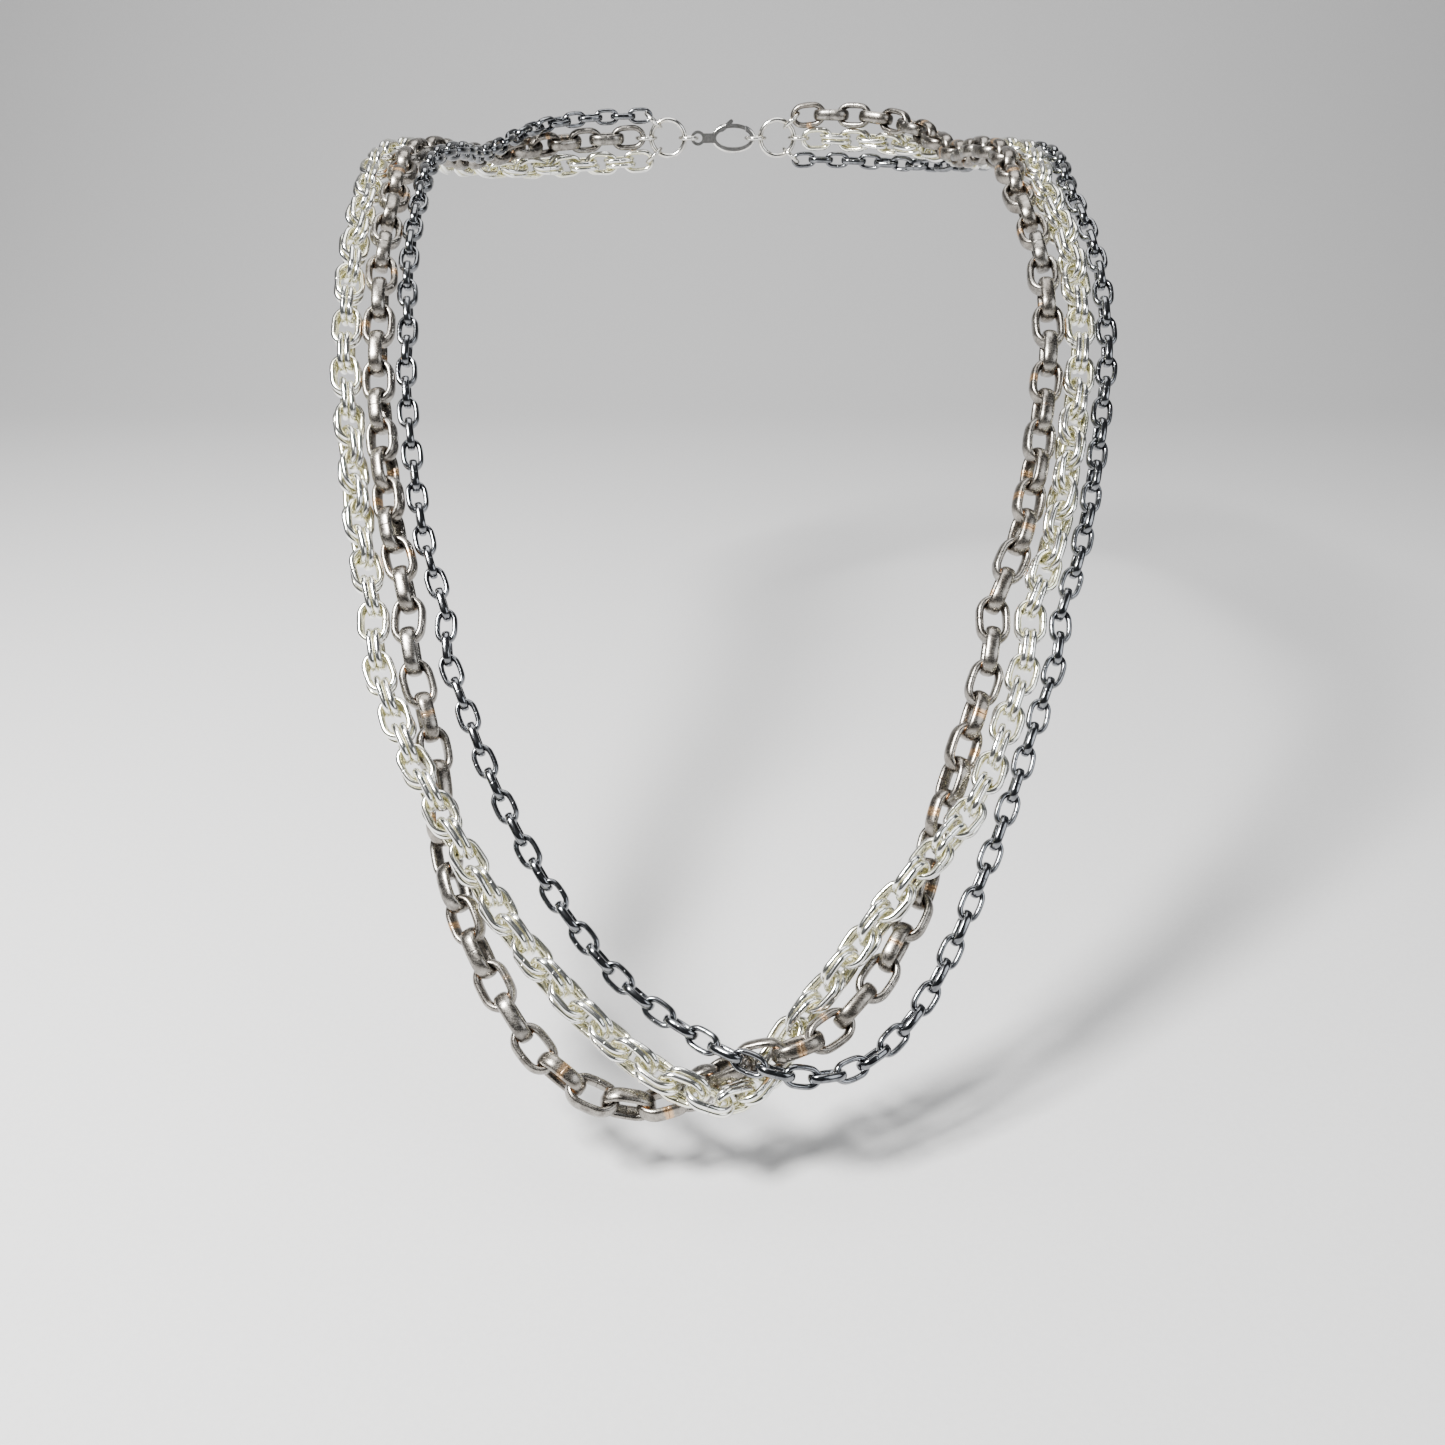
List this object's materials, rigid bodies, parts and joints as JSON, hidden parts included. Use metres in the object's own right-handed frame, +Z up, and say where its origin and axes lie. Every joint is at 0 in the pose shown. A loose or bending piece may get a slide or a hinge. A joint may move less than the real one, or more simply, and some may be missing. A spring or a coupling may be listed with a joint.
{
  "type": "chain necklace",
  "caption": "Multi-strand mixed chain necklace: wide pewter ovals, bright twin round-wire ovals and small black links, gathered on rings at the nape and closed by a lobster clasp",
  "frame": {"origin": "the middle of the neck opening, level with the crest of the shoulders the necklace lies over", "axes": "+X runs to the right as the necklace is seen from the front (the wearer's left), +Y runs to the nape, +Z is up; the strands hang towards -Y and -Z"},
  "size_m": [0.1574, 0.2412, 0.154],
  "materials": {
    "antique_pewter": "antiqued pewter plating, satin, with a copper tinge where links rub",
    "bright_silver": "polished silver plating, slightly warm",
    "black_gunmetal": "polished black gunmetal plating",
    "fitting_silver": "polished plating",
    "spring_wire": "plain spring wire"
  },
  "bodies": {
    "shoulder_rest": {"antique_crest_left": "antique_pewter", "double_crest_left": "bright_silver", "dark_crest_left": "black_gunmetal", "antique_crest_right": "antique_pewter", "double_crest_right": "bright_silver", "dark_crest_right": "black_gunmetal"},
    "back_left": {"antique_back_left": "antique_pewter", "double_back_left": "bright_silver", "dark_back_left": "black_gunmetal", "end_rings_left": "fitting_silver", "collector_left": "fitting_silver"},
    "back_right": {"antique_back_right": "antique_pewter", "double_back_right": "bright_silver", "dark_back_right": "black_gunmetal", "end_rings_right": "fitting_silver", "collector_right": "fitting_silver", "tail_ring": "fitting_silver"},
    "clasp": {"clasp_ring": "fitting_silver", "clasp_body": "fitting_silver", "lever_pin": "fitting_silver", "lever_spring": "spring_wire"},
    "clasp_lever": {"clasp_lever": "fitting_silver"},
    "upper_left": {"antique_upper_left": "antique_pewter", "double_upper_left": "bright_silver", "dark_upper_left": "black_gunmetal"},
    "upper_right": {"antique_upper_right": "antique_pewter", "double_upper_right": "bright_silver", "dark_upper_right": "black_gunmetal"},
    "lower_left": {"antique_lower_left": "antique_pewter", "double_lower_left": "bright_silver", "dark_lower_left": "black_gunmetal"},
    "lower_right": {"antique_lower_right": "antique_pewter", "double_lower_right": "bright_silver", "dark_lower_right": "black_gunmetal"},
    "pair_drop": {"antique_drop": "antique_pewter", "double_drop": "bright_silver"},
    "dark_drop": {"dark_drop": "black_gunmetal"}
  },
  "joints": [
    {"name": "back_left_lift", "type": "hinge", "parent": "shoulder_rest", "child": "back_left", "pos_m": [0, 0.01394, -0.00115], "axis": [1, 0, 0], "range_deg": [0, 30]},
    {"name": "back_right_lift", "type": "hinge", "parent": "shoulder_rest", "child": "back_right", "pos_m": [0, 0.01394, -0.00115], "axis": [1, 0, 0], "range_deg": [0, 30]},
    {"name": "clasp_roll", "type": "hinge", "parent": "back_left", "child": "clasp", "pos_m": [0, 0.072, -0.001], "axis": [1, 0, 0], "range_deg": [-20, 20]},
    {"name": "lever_open", "type": "hinge", "parent": "clasp", "child": "clasp_lever", "pos_m": [-0.00019, 0.072, 0.00152], "axis": [0, 1, 0], "range_deg": [0, 28], "stiffness_Nm_per_rad": 0.01, "springref_deg": -28.65, "deforming": ["lever_spring"]},
    {"name": "upper_left_lift", "type": "hinge", "parent": "shoulder_rest", "child": "upper_left", "pos_m": [0, -0.01394, -0.00115], "axis": [-1, 0, 0], "range_deg": [0, 40]},
    {"name": "upper_right_lift", "type": "hinge", "parent": "shoulder_rest", "child": "upper_right", "pos_m": [0, -0.01394, -0.00115], "axis": [-1, 0, 0], "range_deg": [0, 40]},
    {"name": "lower_left_lift", "type": "hinge", "parent": "upper_left", "child": "lower_left", "pos_m": [0, -0.06632, -0.03173], "axis": [-1, 0, 0], "range_deg": [0, 40]},
    {"name": "lower_right_lift", "type": "hinge", "parent": "upper_right", "child": "lower_right", "pos_m": [0, -0.06632, -0.03173], "axis": [-1, 0, 0], "range_deg": [0, 40]},
    {"name": "pair_drop_lift", "type": "hinge", "parent": "lower_left", "child": "pair_drop", "pos_m": [0, -0.107, -0.07852], "axis": [-1, 0, 0], "range_deg": [0, 40]},
    {"name": "dark_drop_lift", "type": "hinge", "parent": "pair_drop", "child": "dark_drop", "pos_m": [0, -0.107, -0.07852], "axis": [-1, 0, 0], "range_deg": [0, 30]}
  ],
  "couplings": [
    {"joint": "back_right_lift", "follows": "back_left_lift", "ratio": 1},
    {"joint": "upper_right_lift", "follows": "upper_left_lift", "ratio": 1},
    {"joint": "lower_right_lift", "follows": "lower_left_lift", "ratio": 1}
  ]
}
